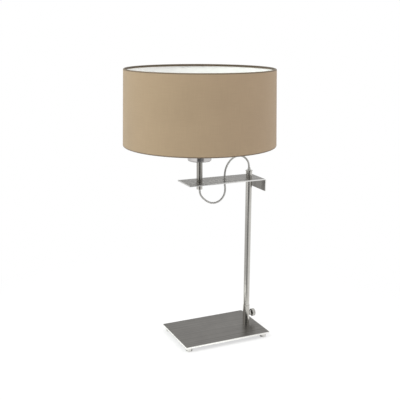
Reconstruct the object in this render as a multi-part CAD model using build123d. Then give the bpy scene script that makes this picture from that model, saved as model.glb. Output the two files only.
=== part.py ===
from build123d import *
from math import atan2, hypot, pi, sqrt, tan
import os

os.makedirs("parts", exist_ok=True)

# A table lamp: a drum shade on an arm that a slim post carries over a flat base.
# All sizes are in millimetres. The origin is on the table, straight below the lampholder.
# +X runs along the arm from the lampholder to the post, and +Z is up.

# Base plate and feet
BASE_LENGTH = 240.0
BASE_WIDTH = 161.0
BASE_THICKNESS = 5.0
BASE_CORNER = 1.2  # radius of the plate's upright corners
EDGE_BREAK = 0.35  # chamfer that breaks the long edges of the plates
FOOT_DIAMETER = 16.0
FOOT_BODY_HEIGHT = 10.4
FOOT_INSET = 13.0  # from the plate's edges to a foot's axis
PAD_DIAMETER = 12.0
PAD_THICKNESS = 1.6
PAD_PROUD = 0.6  # how far a pad stands below its foot
FOOT_SCREW_DIAMETER = 4.0
FOOT_SCREW_HEAD_DIAMETER = 7.0
FOOT_SCREW_HEAD_HEIGHT = 2.6
FOOT_SCREW_REACH = 3.4  # how far a foot screw goes into the plate
SCREW_SLOT_WIDTH = 1.2
SCREW_SLOT_DEPTH = 1.3

# Post, with the switch housing at its foot
POST_REACH = 141.0  # from the lampholder's axis to the post's axis
POST_INSET = 28.0  # from the post's axis to the end of the base plate
POST_DIAMETER = 16.0
POST_WALL = 1.0
POST_SEAT = 14.0  # how far the post goes down into the switch housing
HOUSING_DIAMETER = 18.0
HOUSING_HEIGHT = 51.0
PLUG_HEIGHT = 10.0

# Threaded tubes and their nuts
NIPPLE_DIAMETER = 10.0
NIPPLE_BORE = 8.0
NIPPLE_GRIP = 10.0  # how far a threaded tube goes into what it holds
NUT_FLATS = 14.0
NUT_HEIGHT = 4.0
WASHER_DIAMETER = 18.0
WASHER_THICKNESS = 1.2
NIPPLE_PROUD = 0.8  # how far the lower threaded tube stands out of its nut
INLET_BORE = 6.0
INLET_FLANGE_DIAMETER = 11.0
INLET_FLANGE = 1.0
INLET_BARREL = 6.0
INLET_ROUND = 0.5  # rounding of the flange's rim

# Rotary switch
SWITCH_HEIGHT = 26.0  # from the base plate's top to the knob's axis
SWITCH_DEPTH = 12.0
SWITCH_WIDTH = 9.0
SWITCH_TALL = 20.0
BUSH_DIAMETER = 7.0
BUSH_LENGTH = 9.4
SHAFT_DIAMETER = 4.0
SHAFT_FLAT = 0.6  # depth of the flat that the grub screw presses on
ROTOR_DIAMETER = 7.0
ROTOR_FLATS = 5.6  # across the flats of the cam
ROTOR_THICKNESS = 4.0
SADDLE_DIAMETER = 11.0
SADDLE_THICKNESS = 1.2
SWITCH_NUT_FLATS = 9.6
SWITCH_NUT_HEIGHT = 1.8
KNOB_DIAMETER = 20.5
KNOB_LENGTH = 8.2
KNOB_GAP = 0.6  # between the bush's end and the knob's back
KNOB_RIBS = 36
KNOB_GROOVE = 0.5  # radius of the grooves between the ribs
KNOB_RIM = 1.3  # smooth band at the knob's outer end
KNOB_WALL = 1.7
KNOB_HOLLOW = 4.8  # depth of the hollow in the knob's back, round its boss
KNOB_BOSS_DIAMETER = 9.6
KNOB_SOCKET = 5.6  # depth of the hole for the shaft
KNOB_MARK_LENGTH = 5.0  # the line on the knob's end that shows where it points
KNOB_MARK_WIDTH = 1.0
KNOB_MARK_DEPTH = 0.5
GRUB_DIAMETER = 3.0
GRUB_LENGTH = 3.2
GRUB_KEY_DIAMETER = 1.5
GRUB_KEY_DEPTH = 1.2

# Arm: one strip of sheet, folded down at its outer end
ARM_HEIGHT = 405.5  # from the base plate's top to the arm's top
ARM_LENGTH = 214.5
ARM_WIDTH = 76.0
ARM_THICKNESS = 3.0
ARM_DROP = 32.5  # from the arm's top to the lower edge of the folded end
ARM_OVERHANG = 30.0  # from the post's axis to the outside of the folded end
BEND_RADIUS = 1.8  # inside the fold

# Gland on top of the post
GLAND_HEIGHT = 16.0
COLLAR_DIAMETER = 18.6
COLLAR_HEIGHT = 2.2
COLLAR_ROUND = 0.55
GRIP_BASE_DIAMETER = 9.0
GRIP_TIP_DIAMETER = 5.8
GRIP_HEIGHT = 7.5
GRIP_SPIGOT_DIAMETER = 7.6
INSERT_HEIGHT = 14.0

# Flex
FLEX_DIAMETER = 4.8
GROMMET_DIAMETER = 8.0
GROMMET_FLANGE_DIAMETER = 10.6
GROMMET_FLANGE = 0.8
GROMMET_ROUND = 0.4

# Stem that carries the lampholder
STEM_DIAMETER = 15.0
STEM_WALL = 1.0
STEM_LENGTH = 53.5
STUB_LENGTH = 16.5

# Cup and lampholder
CUP_DIAMETER = 60.0
CUP_HEIGHT = 47.0
CUP_WALL = 1.0
CUP_CORNER = 3.0
HOLDER_DIAMETER = 40.0
HOLDER_WALL = 3.0
HOLDER_FLOOR = 5.0
HOLDER_ROUND = 1.5
HOLDER_LEDGE = 1.5  # width of the ledge under the insert
HOLDER_CAP_HEIGHT = 30.0
INSERT_THICKNESS = 12.0
SKIRT_DIAMETER = 39.5
SKIRT_LENGTH = 31.0
SKIRT_LAP = 6.0  # how far the skirt's collar goes down over the cap
SKIRT_COLLAR_WALL = 1.6
LAMP_BORE_DIAMETER = 26.8  # major diameter of the screw thread for an E27 lamp
LAMP_CHAMBER_DIAMETER = 28.6  # below the thread, round the contacts
LAMP_CHAMBER_DEPTH = 9.0
SKIRT_SHOULDER = 2.0
LOCKNUT_HEIGHT = 3.0
TERMINAL_DIAMETER = 5.0
TERMINAL_LENGTH = 5.0
TERMINAL_PITCH = 18.0
TERMINAL_SLOT_WIDTH = 0.8
TERMINAL_SLOT_DEPTH = 1.2

# Contacts in the lampholder
STRIP_WIDTH = 6.0
STRIP_THICKNESS = 0.5
CONTACT_FOOT_LENGTH = 3.6
CONTACT_RISE = 4.0
CONTACT_RUN = 9.6
CONTACT_TIP = 3.0
CONTACT_TIP_DROP = 0.6  # how far the tip bends down again
CONTACT_ROOT = 8.1  # from the holder's axis to the spring contact's root
SIDE_CONTACT_HEIGHT = 6.0
RIVET_DIAMETER = 2.6
RIVET_HEIGHT = 0.7

# Shade and its frame
SHADE_BOTTOM = 499.5  # from the base plate's top to the shade's lower edge
SHADE_HEIGHT = 187.4
SHADE_LOWER_DIAMETER = 380.0
SHADE_UPPER_DIAMETER = 371.0
FABRIC = 0.6
LINING = 0.4
RING_WIRE = 3.6
HEM_TURN = 0.6  # how far the fabric is turned in beyond the wire
HUB_RIM = 2.5  # how far the hub reaches beyond the cup it rests on
HUB_THICKNESS = 2.0
HUB_ARMS = 3
HUB_ARM_DIAMETER = 4.0
HUB_FIRST_ARM = 90.0  # degrees from +X
SHADE_NUT_DIAMETER = 54.0
SHADE_NUT_HEIGHT = 8.0
SHADE_NUT_RIBS = 24
SHADE_NUT_GROOVE = 1.2
SHADE_NUT_BREAK = 0.7  # chamfer of its upper rim

# Clearances
SLIP = 0.05  # radial gap where one fixed piece goes into another
RUNNING = 0.05  # radial gap round the turning shaft
FREE = 0.3  # gap between pieces that move past each other
NEAR = 1e-3  # how near an edge lies to the height that it is looked for at

# Places that follow from the sizes
PLATE_BOTTOM = PAD_PROUD + FOOT_BODY_HEIGHT
BASE_TOP = PLATE_BOTTOM + BASE_THICKNESS
BASE_END = POST_REACH + POST_INSET
BASE_MIDDLE = BASE_END - BASE_LENGTH / 2
ARM_TOP = BASE_TOP + ARM_HEIGHT
ARM_BOTTOM = ARM_TOP - ARM_THICKNESS
HOUSING_TOP = BASE_TOP + HOUSING_HEIGHT
SWITCH_AXIS = BASE_TOP + SWITCH_HEIGHT
SWITCH_FACE = POST_REACH + SWITCH_DEPTH / 2
HOUSING_SIDE = POST_REACH + HOUSING_DIAMETER / 2
KNOB_BACK = SWITCH_FACE + BUSH_LENGTH + KNOB_GAP
GLAND_TOP = ARM_TOP + GLAND_HEIGHT
COLLAR_TOP = GLAND_TOP + COLLAR_HEIGHT
CUP_BOTTOM = ARM_TOP + STEM_LENGTH
CUP_TOP = CUP_BOTTOM + CUP_HEIGHT
HOLDER_BOTTOM = CUP_BOTTOM + CUP_WALL
CAP_TOP = HOLDER_BOTTOM + HOLDER_CAP_HEIGHT
SKIRT_TOP = CAP_TOP + SKIRT_LENGTH
LOWER_EDGE = BASE_TOP + SHADE_BOTTOM
UPPER_EDGE = LOWER_EDGE + SHADE_HEIGHT
HUB_DIAMETER = CUP_DIAMETER + 2 * HUB_RIM
WIRE_INSET = FABRIC + SLIP + RING_WIRE / 2
UP_FROM = (Align.CENTER, Align.CENTER, Align.MIN)
ENDS_AT = (Align.MAX, Align.CENTER, Align.MIN)


def rod(diameter, height, x, z, y=0.0):
    """An upright round bar whose lower end is at z."""
    return Pos(x, y, z) * Cylinder(diameter / 2, height, align=UP_FROM)


def pipe(outer, inner, height, x, z, y=0.0):
    """An upright round tube whose lower end is at z."""
    return rod(outer, height, x, z, y) - rod(inner, height, x, z, y)


def hexagon(flats, height, x, z):
    """An upright hexagonal bar whose lower end is at z."""
    outline = RegularPolygon(flats / 2, 6, major_radius=False)
    return Pos(x, 0, z) * extrude(outline, height)


def on_switch_axis(x):
    """The place at x on the switch's axis, turned so that its own +Z points along +X."""
    return Pos(x, 0, SWITCH_AXIS) * Rot(0, 90, 0)


def side_rod(diameter, length, x):
    """A round bar along the switch's axis, starting at x."""
    return on_switch_axis(x) * Cylinder(diameter / 2, length, align=UP_FROM)


def round_edges(solid, z):
    """The circular edges of a solid that lie at height z."""
    circles = solid.edges().filter_by(GeomType.CIRCLE)
    return circles.filter_by_position(Axis.Z, z - NEAR, z + NEAR)


def outer_edge(solid, z):
    """The largest circular edge of a solid at height z."""
    return round_edges(solid, z).sort_by(SortBy.RADIUS)[-1]


def inner_edge(solid, z):
    """The smallest circular edge of a solid at height z."""
    return round_edges(solid, z).sort_by(SortBy.RADIUS)[0]


def foot_places():
    """Where the four feet stand, by name."""
    x_far = BASE_LENGTH / 2 - FOOT_INSET
    y_far = BASE_WIDTH / 2 - FOOT_INSET
    return {
        "front_left": (BASE_MIDDLE - x_far, -y_far),
        "front_right": (BASE_MIDDLE + x_far, -y_far),
        "rear_left": (BASE_MIDDLE - x_far, y_far),
        "rear_right": (BASE_MIDDLE + x_far, y_far),
    }


def base_plate():
    outline = RectangleRounded(BASE_LENGTH, BASE_WIDTH, BASE_CORNER)
    plate = Pos(BASE_MIDDLE, 0, PLATE_BOTTOM) * extrude(outline, BASE_THICKNESS)
    faces = plate.faces().sort_by(Axis.Z)
    plate = chamfer(faces[0].edges() + faces[-1].edges(), EDGE_BREAK)
    plate -= rod(NIPPLE_DIAMETER + 2 * FREE, BASE_THICKNESS, POST_REACH, PLATE_BOTTOM)
    for x, y in foot_places().values():
        plate -= rod(FOOT_SCREW_DIAMETER + 2 * SLIP, FOOT_SCREW_REACH + FREE, x, PLATE_BOTTOM, y)
    return plate


# A foot's heights: the pad's seat, then the screw head's seat
PAD_TOP = PAD_THICKNESS
HEAD_SEAT = PAD_TOP + FREE + FOOT_SCREW_HEAD_HEIGHT


def foot(x, y):
    body = rod(FOOT_DIAMETER, FOOT_BODY_HEIGHT, x, PAD_PROUD, y)
    body = chamfer(outer_edge(body, PAD_PROUD), EDGE_BREAK)
    body -= rod(PAD_DIAMETER + 2 * SLIP, PAD_TOP - PAD_PROUD, x, PAD_PROUD, y)
    body -= rod(FOOT_SCREW_HEAD_DIAMETER + 2 * FREE, HEAD_SEAT - PAD_TOP, x, PAD_TOP, y)
    body -= rod(FOOT_SCREW_DIAMETER + 2 * FREE, PLATE_BOTTOM - HEAD_SEAT, x, HEAD_SEAT, y)
    return body


def foot_pad(x, y):
    pad = rod(PAD_DIAMETER, PAD_THICKNESS, x, 0, y)
    return chamfer(outer_edge(pad, 0), EDGE_BREAK)


def foot_screw(x, y):
    head_bottom = HEAD_SEAT - FOOT_SCREW_HEAD_HEIGHT
    screw = rod(FOOT_SCREW_HEAD_DIAMETER, FOOT_SCREW_HEAD_HEIGHT, x, head_bottom, y)
    shank = PLATE_BOTTOM + FOOT_SCREW_REACH - HEAD_SEAT
    screw += rod(FOOT_SCREW_DIAMETER, shank, x, HEAD_SEAT, y)
    slot = Box(FOOT_SCREW_HEAD_DIAMETER, SCREW_SLOT_WIDTH, SCREW_SLOT_DEPTH, align=UP_FROM)
    return screw - Pos(x, y, head_bottom) * slot


def base_parts():
    made = {"base_plate": base_plate()}
    for name, (x, y) in foot_places().items():
        made[f"foot_{name}"] = foot(x, y)
        made[f"foot_pad_{name}"] = foot_pad(x, y)
    made["foot_screws"] = Compound([foot_screw(x, y) for x, y in foot_places().values()])
    return made


# The lower threaded tube's fixings hang below the base plate, from the washer down
WASHER_BOTTOM = PLATE_BOTTOM - WASHER_THICKNESS
NUT_BOTTOM = WASHER_BOTTOM - NUT_HEIGHT
FOOT_NIPPLE_BOTTOM = NUT_BOTTOM - NIPPLE_PROUD


def base_fixings():
    hole = NIPPLE_DIAMETER + 2 * SLIP
    washer = pipe(WASHER_DIAMETER, hole, WASHER_THICKNESS, POST_REACH, WASHER_BOTTOM)
    nut = hexagon(NUT_FLATS, NUT_HEIGHT, POST_REACH, NUT_BOTTOM)
    nut -= rod(hole, NUT_HEIGHT, POST_REACH, NUT_BOTTOM)
    long = BASE_TOP + PLUG_HEIGHT - FOOT_NIPPLE_BOTTOM
    nipple = pipe(NIPPLE_DIAMETER, NIPPLE_BORE, long, POST_REACH, FOOT_NIPPLE_BOTTOM)
    inlet = rod(INLET_FLANGE_DIAMETER, INLET_FLANGE, POST_REACH, FOOT_NIPPLE_BOTTOM - INLET_FLANGE)
    inlet = fillet(outer_edge(inlet, FOOT_NIPPLE_BOTTOM - INLET_FLANGE), INLET_ROUND)
    inlet += rod(NIPPLE_BORE - 2 * SLIP, INLET_BARREL, POST_REACH, FOOT_NIPPLE_BOTTOM)
    inlet_long = INLET_FLANGE + INLET_BARREL
    inlet -= rod(INLET_BORE, inlet_long, POST_REACH, FOOT_NIPPLE_BOTTOM - INLET_FLANGE)
    return {"base_washer": washer, "base_nut": nut, "base_nipple": nipple, "lead_inlet_bush": inlet}


def switch_housing():
    bore = POST_DIAMETER + 2 * SLIP
    tube = pipe(HOUSING_DIAMETER, bore, HOUSING_HEIGHT, POST_REACH, BASE_TOP)
    tube = chamfer(outer_edge(tube, HOUSING_TOP), EDGE_BREAK)
    return tube - side_rod(BUSH_DIAMETER + 2 * SLIP, HOUSING_DIAMETER, POST_REACH)


def housing_plug():
    plug = rod(POST_DIAMETER, PLUG_HEIGHT, POST_REACH, BASE_TOP)
    return plug - rod(NIPPLE_DIAMETER + 2 * SLIP, PLUG_HEIGHT, POST_REACH, BASE_TOP)


def switch_body():
    body = Pos(POST_REACH, 0, SWITCH_AXIS) * Box(SWITCH_DEPTH, SWITCH_WIDTH, SWITCH_TALL)
    body = chamfer(body.edges().filter_by(Axis.Z), EDGE_BREAK)
    room = ROTOR_THICKNESS + 2 * FREE
    body -= side_rod(ROTOR_DIAMETER + 2 * FREE, room, POST_REACH - room / 2)
    return body - side_rod(SHAFT_DIAMETER + 2 * RUNNING, SWITCH_DEPTH / 2, POST_REACH)


def switch_bush():
    bush = side_rod(BUSH_DIAMETER, BUSH_LENGTH, SWITCH_FACE)
    return bush - side_rod(SHAFT_DIAMETER + 2 * RUNNING, BUSH_LENGTH, SWITCH_FACE)


def switch_saddle():
    """The washer that fits the round housing on one side and is flat on the other."""
    washer = side_rod(SADDLE_DIAMETER, HOUSING_DIAMETER / 2 + SADDLE_THICKNESS, POST_REACH)
    washer -= rod(HOUSING_DIAMETER, HOUSING_HEIGHT, POST_REACH, BASE_TOP)
    return washer - side_rod(BUSH_DIAMETER + 2 * SLIP, HOUSING_DIAMETER, POST_REACH)


def switch_nut():
    outline = RegularPolygon(SWITCH_NUT_FLATS / 2, 6, major_radius=False)
    outline -= Circle(BUSH_DIAMETER / 2 + SLIP)
    return on_switch_axis(HOUSING_SIDE + SADDLE_THICKNESS) * extrude(outline, SWITCH_NUT_HEIGHT)


def flatted_rod(diameter, length, x, flat):
    """A bar along the switch's axis with a flat on its +Y side, flat below the round."""
    keep = Box(length, diameter, diameter, align=(Align.MIN, Align.MAX, Align.CENTER))
    return side_rod(diameter, length, x) & Pos(x, diameter / 2 - flat, SWITCH_AXIS) * keep


def switch_shaft():
    plain = side_rod(SHAFT_DIAMETER, KNOB_BACK - POST_REACH, POST_REACH)
    return plain + flatted_rod(SHAFT_DIAMETER, KNOB_SOCKET, KNOB_BACK, SHAFT_FLAT)


def switch_rotor():
    """The square cam on the inner end of the shaft, which makes the clicks."""
    disc = side_rod(ROTOR_DIAMETER, ROTOR_THICKNESS, POST_REACH - ROTOR_THICKNESS / 2)
    cam = disc & Pos(POST_REACH, 0, SWITCH_AXIS) * Box(ROTOR_THICKNESS, ROTOR_FLATS, ROTOR_FLATS)
    return cam - side_rod(SHAFT_DIAMETER, ROTOR_THICKNESS / 2, POST_REACH)


def switch_knob():
    """The ribbed knob, hollow at its back round the boss that the shaft goes into."""
    knob = Cylinder(KNOB_DIAMETER / 2, KNOB_LENGTH, align=UP_FROM)
    knob = chamfer(knob.edges().filter_by(GeomType.CIRCLE), KNOB_GROOVE)
    boss = rod(KNOB_BOSS_DIAMETER, KNOB_HOLLOW, 0, 0)
    knob -= rod(KNOB_DIAMETER - 2 * KNOB_WALL, KNOB_HOLLOW, 0, 0) - boss
    groove = Cylinder(KNOB_GROOVE, KNOB_LENGTH - KNOB_RIM, align=UP_FROM)
    knob -= PolarLocations(KNOB_DIAMETER / 2, KNOB_RIBS) * groove
    mark = Box(KNOB_MARK_LENGTH, KNOB_MARK_WIDTH, 2 * KNOB_MARK_DEPTH)
    knob -= Pos(-KNOB_DIAMETER / 4, 0, KNOB_LENGTH) * mark
    knob = on_switch_axis(KNOB_BACK) * knob
    knob -= flatted_rod(SHAFT_DIAMETER + 2 * SLIP, KNOB_SOCKET + SLIP, KNOB_BACK, SHAFT_FLAT)
    grub_hole = Cylinder(GRUB_DIAMETER / 2 + SLIP, KNOB_DIAMETER / 2, align=UP_FROM)
    return knob - Pos(KNOB_BACK + KNOB_SOCKET / 2, 0, SWITCH_AXIS) * Rot(-90, 0, 0) * grub_hole


def knob_grub_screw():
    screw = Cylinder(GRUB_DIAMETER / 2, GRUB_LENGTH, align=UP_FROM)
    key = extrude(RegularPolygon(GRUB_KEY_DIAMETER / 2, 6), GRUB_KEY_DEPTH)
    screw -= Pos(0, 0, GRUB_LENGTH - GRUB_KEY_DEPTH) * key
    seat = SHAFT_DIAMETER / 2 - SHAFT_FLAT
    return Pos(KNOB_BACK + KNOB_SOCKET / 2, seat, SWITCH_AXIS) * Rot(-90, 0, 0) * screw


def switch_parts():
    return {
        "switch_housing": switch_housing(),
        "housing_plug": housing_plug(),
        "switch_body": switch_body(),
        "switch_bush": switch_bush(),
        "switch_saddle": switch_saddle(),
        "switch_nut": switch_nut(),
        "switch_shaft": switch_shaft(),
        "switch_rotor": switch_rotor(),
        "switch_knob": switch_knob(),
        "knob_grub_screw": knob_grub_screw(),
    }


POST_BOTTOM = HOUSING_TOP - POST_SEAT


def post_parts():
    bore = POST_DIAMETER - 2 * POST_WALL
    thread = NIPPLE_DIAMETER + 2 * SLIP
    tube = pipe(POST_DIAMETER, bore, ARM_BOTTOM - POST_BOTTOM, POST_REACH, POST_BOTTOM)
    insert = pipe(bore - 2 * SLIP, thread, INSERT_HEIGHT, POST_REACH, ARM_BOTTOM - INSERT_HEIGHT)
    nipple_long = 2 * NIPPLE_GRIP + ARM_THICKNESS
    nipple = pipe(NIPPLE_DIAMETER, NIPPLE_BORE, nipple_long, POST_REACH, ARM_BOTTOM - NIPPLE_GRIP)
    return {"post_tube": tube, "post_insert": insert, "gland_nipple": nipple}


def gland_body():
    body = rod(POST_DIAMETER, GLAND_HEIGHT, POST_REACH, ARM_TOP)
    body -= rod(NIPPLE_DIAMETER + 2 * SLIP, NIPPLE_GRIP, POST_REACH, ARM_TOP)
    return body - rod(GRIP_SPIGOT_DIAMETER + 2 * SLIP, GLAND_HEIGHT, POST_REACH, ARM_TOP)


def gland_collar():
    collar = pipe(COLLAR_DIAMETER, GRIP_SPIGOT_DIAMETER + 2 * SLIP, COLLAR_HEIGHT, POST_REACH, GLAND_TOP)
    edges = [outer_edge(collar, GLAND_TOP), outer_edge(collar, COLLAR_TOP)]
    return fillet(edges, COLLAR_ROUND)


def cord_grip():
    """The tapered grip that the flex comes out of."""
    cone = Cone(GRIP_BASE_DIAMETER / 2, GRIP_TIP_DIAMETER / 2, GRIP_HEIGHT, align=UP_FROM)
    grip = Pos(POST_REACH, 0, COLLAR_TOP) * cone
    spigot = COLLAR_TOP - ARM_TOP - NIPPLE_GRIP
    grip += rod(GRIP_SPIGOT_DIAMETER, spigot, POST_REACH, ARM_TOP + NIPPLE_GRIP)
    return grip - rod(FLEX_DIAMETER + 2 * SLIP, spigot + GRIP_HEIGHT, POST_REACH, ARM_TOP + NIPPLE_GRIP)


def arm_plate():
    left = POST_REACH + ARM_OVERHANG - ARM_LENGTH
    right = POST_REACH + ARM_OVERHANG
    inside = right - ARM_THICKNESS
    lower = ARM_TOP - ARM_DROP
    corners = [(left, ARM_TOP), (right, ARM_TOP), (right, lower), (inside, lower)]
    corners += [(inside, ARM_BOTTOM), (left, ARM_BOTTOM)]
    outline = make_face(Polyline(*corners, close=True))
    outer_corner = outline.vertices().sort_by_distance(Vector(right, ARM_TOP, 0))[0]
    outline = fillet(outer_corner, BEND_RADIUS + ARM_THICKNESS)
    inner_corner = outline.vertices().sort_by_distance(Vector(inside, ARM_BOTTOM, 0))[0]
    outline = fillet(inner_corner, BEND_RADIUS)
    sheet = extrude(Plane.XZ * outline, ARM_WIDTH / 2, both=True)
    for x in (POST_REACH, 0):
        sheet -= rod(NIPPLE_DIAMETER + 2 * SLIP, ARM_THICKNESS, x, ARM_BOTTOM)
    return sheet - rod(GROMMET_DIAMETER + 2 * SLIP, ARM_THICKNESS, POST_REACH / 2, ARM_BOTTOM)


def flex_grommet():
    middle = POST_REACH / 2
    ring = rod(GROMMET_DIAMETER, ARM_THICKNESS, middle, ARM_BOTTOM)
    ring += rod(GROMMET_FLANGE_DIAMETER, GROMMET_FLANGE, middle, ARM_TOP)
    ring += rod(GROMMET_FLANGE_DIAMETER, GROMMET_FLANGE, middle, ARM_BOTTOM - GROMMET_FLANGE)
    ring = fillet(outer_edge(ring, ARM_TOP + GROMMET_FLANGE), GROMMET_ROUND)
    ring = fillet(outer_edge(ring, ARM_BOTTOM - GROMMET_FLANGE), GROMMET_ROUND)
    long = ARM_THICKNESS + 2 * GROMMET_FLANGE
    return ring - rod(FLEX_DIAMETER + 2 * FREE, long, middle, ARM_BOTTOM - GROMMET_FLANGE)


# The flex's route, from the switch up the post, over, down through the arm and up the stem.
# Each point is its distance from the post's axis towards the lampholder, then its height above
# the arm's top.
FLEX_START = SWITCH_AXIS + SWITCH_TALL / 2 - ARM_TOP
FLEX_FINISH = CAP_TOP - INSERT_THICKNESS - ARM_TOP
FLEX_ROUTE = [
    (0.0, FLEX_START),
    (0.0, 34.0),
    (7.5, 48.0),
    (20.5, 57.5),
    (37.5, 58.5),
    (53.0, 50.5),
    (64.0, 37.0),
    (69.8, 21.0),
    (POST_REACH / 2, 5.0),
    (POST_REACH / 2, -11.0),
    (68.0, -27.0),
    (71.5, -43.0),
    (82.0, -55.0),
    (97.5, -60.5),
    (113.5, -57.5),
    (127.5, -48.0),
    (138.5, -35.5),
    (POST_REACH, -21.5),
    (POST_REACH, FLEX_FINISH),
]
RUN_SHARE = 0.45  # the share of the shorter run that an arc may take up


def arc_radii(points):
    """The largest arc that the two runs at each inner point of a route leave room for."""
    radii = []
    for before, here, after in zip(points, points[1:], points[2:]):
        run_in = (here[0] - before[0], here[1] - before[1])
        run_out = (after[0] - here[0], after[1] - here[1])
        across = run_in[0] * run_out[1] - run_in[1] * run_out[0]
        along = run_in[0] * run_out[0] + run_in[1] * run_out[1]
        half_turn = abs(atan2(across, along)) / 2
        radii.append(RUN_SHARE * min(hypot(*run_in), hypot(*run_out)) / tan(half_turn))
    return radii


def flex():
    radii = arc_radii(FLEX_ROUTE)
    print("flex arc radii", [round(r, 1) for r in radii])
    places = [(POST_REACH - along, 0, ARM_TOP + up) for along, up in FLEX_ROUTE]
    path = FilletPolyline(*places, radius=radii)
    cord = sweep(Plane(origin=path @ 0, z_dir=path % 0) * Circle(FLEX_DIAMETER / 2), path=path)
    plain_volume = path.length * pi * FLEX_DIAMETER**2 / 4
    print("flex length", round(path.length, 1), "volume share", round(cord.volume / plain_volume, 4))
    return cord


STUB_BOTTOM = ARM_BOTTOM - STUB_LENGTH
STEM_NIPPLE_TOP = HOLDER_BOTTOM + HOLDER_FLOOR + LOCKNUT_HEIGHT + NIPPLE_PROUD


def stem_parts():
    tube = pipe(STEM_DIAMETER, STEM_DIAMETER - 2 * STEM_WALL, STEM_LENGTH, 0, ARM_TOP)
    nipple_bottom = ARM_BOTTOM - NIPPLE_GRIP
    nipple = pipe(NIPPLE_DIAMETER, NIPPLE_BORE, STEM_NIPPLE_TOP - nipple_bottom, 0, nipple_bottom)
    stub = rod(STEM_DIAMETER, STUB_LENGTH, 0, STUB_BOTTOM)
    stub = chamfer(outer_edge(stub, STUB_BOTTOM), EDGE_BREAK)
    stub -= rod(NIPPLE_DIAMETER + 2 * SLIP, NIPPLE_GRIP, 0, nipple_bottom)
    stub -= rod(NIPPLE_BORE, STUB_LENGTH, 0, STUB_BOTTOM)
    bush_long = STUB_LENGTH - NIPPLE_GRIP
    bush = pipe(NIPPLE_BORE - 2 * SLIP, FLEX_DIAMETER + 2 * FREE, bush_long, 0, STUB_BOTTOM)
    return {"stem_tube": tube, "stem_nipple": nipple, "stem_stub_nut": stub, "stub_bush": bush}


def holder_cup():
    solid = rod(CUP_DIAMETER, CUP_HEIGHT, 0, CUP_BOTTOM)
    solid = fillet(outer_edge(solid, CUP_BOTTOM), CUP_CORNER)
    inside = rod(CUP_DIAMETER - 2 * CUP_WALL, CUP_HEIGHT - CUP_WALL, 0, HOLDER_BOTTOM)
    inside = fillet(outer_edge(inside, HOLDER_BOTTOM), CUP_CORNER - CUP_WALL)
    return solid - inside - rod(NIPPLE_DIAMETER + 2 * SLIP, CUP_WALL, 0, CUP_BOTTOM)


CAP_BORE = HOLDER_DIAMETER - 2 * HOLDER_WALL
INSERT_BOTTOM = CAP_TOP - INSERT_THICKNESS


def holder_cap():
    cap = rod(HOLDER_DIAMETER, HOLDER_CAP_HEIGHT, 0, HOLDER_BOTTOM)
    cap = fillet(outer_edge(cap, HOLDER_BOTTOM), HOLDER_ROUND)
    cap -= rod(CAP_BORE, INSERT_THICKNESS, 0, INSERT_BOTTOM)
    hollow = INSERT_BOTTOM - HOLDER_BOTTOM - HOLDER_FLOOR
    cap -= rod(CAP_BORE - 2 * HOLDER_LEDGE, hollow, 0, HOLDER_BOTTOM + HOLDER_FLOOR)
    return cap - rod(NIPPLE_DIAMETER + 2 * SLIP, HOLDER_FLOOR, 0, HOLDER_BOTTOM)


def terminal_places():
    return [(0.0, side * TERMINAL_PITCH / 2) for side in (-1, 1)]


def holder_insert():
    """The block in the lampholder that carries the contacts."""
    block = rod(CAP_BORE - 2 * SLIP, INSERT_THICKNESS, 0, INSERT_BOTTOM)
    for x, y in terminal_places():
        block -= rod(TERMINAL_DIAMETER + 2 * SLIP, TERMINAL_LENGTH, x, INSERT_BOTTOM, y)
    return block


def holder_skirt():
    """The skirt that a lamp screws into. It laps over the cap, and the shade's nut runs on its outside."""
    skirt = rod(SKIRT_DIAMETER, SKIRT_LENGTH, 0, CAP_TOP)
    collar = HOLDER_DIAMETER + 2 * SKIRT_COLLAR_WALL
    skirt += rod(collar, SKIRT_LAP + SKIRT_SHOULDER, 0, CAP_TOP - SKIRT_LAP)
    skirt -= rod(HOLDER_DIAMETER + 2 * SLIP, SKIRT_LAP, 0, CAP_TOP - SKIRT_LAP)
    skirt -= rod(LAMP_BORE_DIAMETER, SKIRT_LENGTH, 0, CAP_TOP)
    skirt -= rod(LAMP_CHAMBER_DIAMETER, LAMP_CHAMBER_DEPTH, 0, CAP_TOP)
    skirt = chamfer(inner_edge(skirt, SKIRT_TOP), EDGE_BREAK)
    return fillet(outer_edge(skirt, SKIRT_TOP), HOLDER_ROUND)


def terminal():
    screw = Cylinder(TERMINAL_DIAMETER / 2, TERMINAL_LENGTH, align=UP_FROM)
    slot = Box(TERMINAL_DIAMETER, TERMINAL_SLOT_WIDTH, TERMINAL_SLOT_DEPTH, align=UP_FROM)
    return screw - slot


ROOT_HEIGHT = CAP_TOP + FREE  # the spring contact's pivot is just above the insert


def centre_contact():
    """The sprung strip that the foot of a lamp presses down."""
    tip = (CONTACT_RUN + CONTACT_TIP, CONTACT_RISE - CONTACT_TIP_DROP)
    profile = [(0.0, 0.0), (CONTACT_RUN, CONTACT_RISE), tip]
    upper = [(x, z + STRIP_THICKNESS) for x, z in reversed(profile)]
    outline = make_face(Polyline(*(profile + upper), close=True))
    strip = extrude(Plane.XZ * outline, STRIP_WIDTH / 2, both=True)
    return Pos(-CONTACT_ROOT, 0, ROOT_HEIGHT) * strip


def contact_foot():
    """The riveted root of the spring contact, held to the insert."""
    end = -CONTACT_ROOT - FREE
    box = Box(CONTACT_FOOT_LENGTH, STRIP_WIDTH, STRIP_THICKNESS, align=ENDS_AT)
    rivet = rod(RIVET_DIAMETER, RIVET_HEIGHT, end - CONTACT_FOOT_LENGTH / 2, CAP_TOP + STRIP_THICKNESS)
    return Pos(end, 0, CAP_TOP) * box + rivet


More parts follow.
